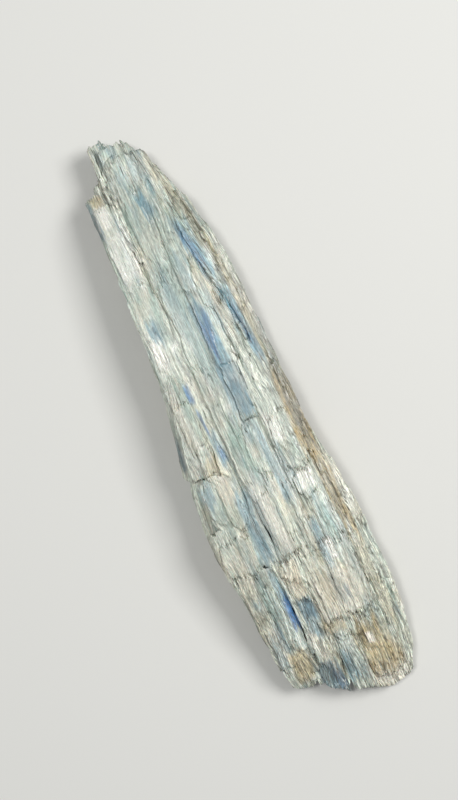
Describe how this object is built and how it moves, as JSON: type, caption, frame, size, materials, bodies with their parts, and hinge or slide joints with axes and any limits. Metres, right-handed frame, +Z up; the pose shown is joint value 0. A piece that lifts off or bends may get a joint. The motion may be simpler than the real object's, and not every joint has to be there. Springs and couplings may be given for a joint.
{
  "type": "kyanite blade cluster",
  "caption": "Long spindle of intergrown, near-parallel flat kyanite blades with splintered and stepped ends, resting on a flat underside.",
  "frame": {"origin": "under the middle of the cluster's bounding box, on the flat underside that it rests on", "axes": "+X along the blades, from the narrow splintered end to the wide stepped end; +Y across, towards the laminated brown flank; +Z up"},
  "size_m": [0.2394, 0.0592, 0.0261],
  "materials": {
    "kyanite": "natural cleavage faces, pearly to vitreous, silvery grey-blue with deep blue streaks and tan iron stain"
  },
  "bodies": {
    "root": {"kyanite_cluster": "kyanite"}
  },
  "joints": []
}
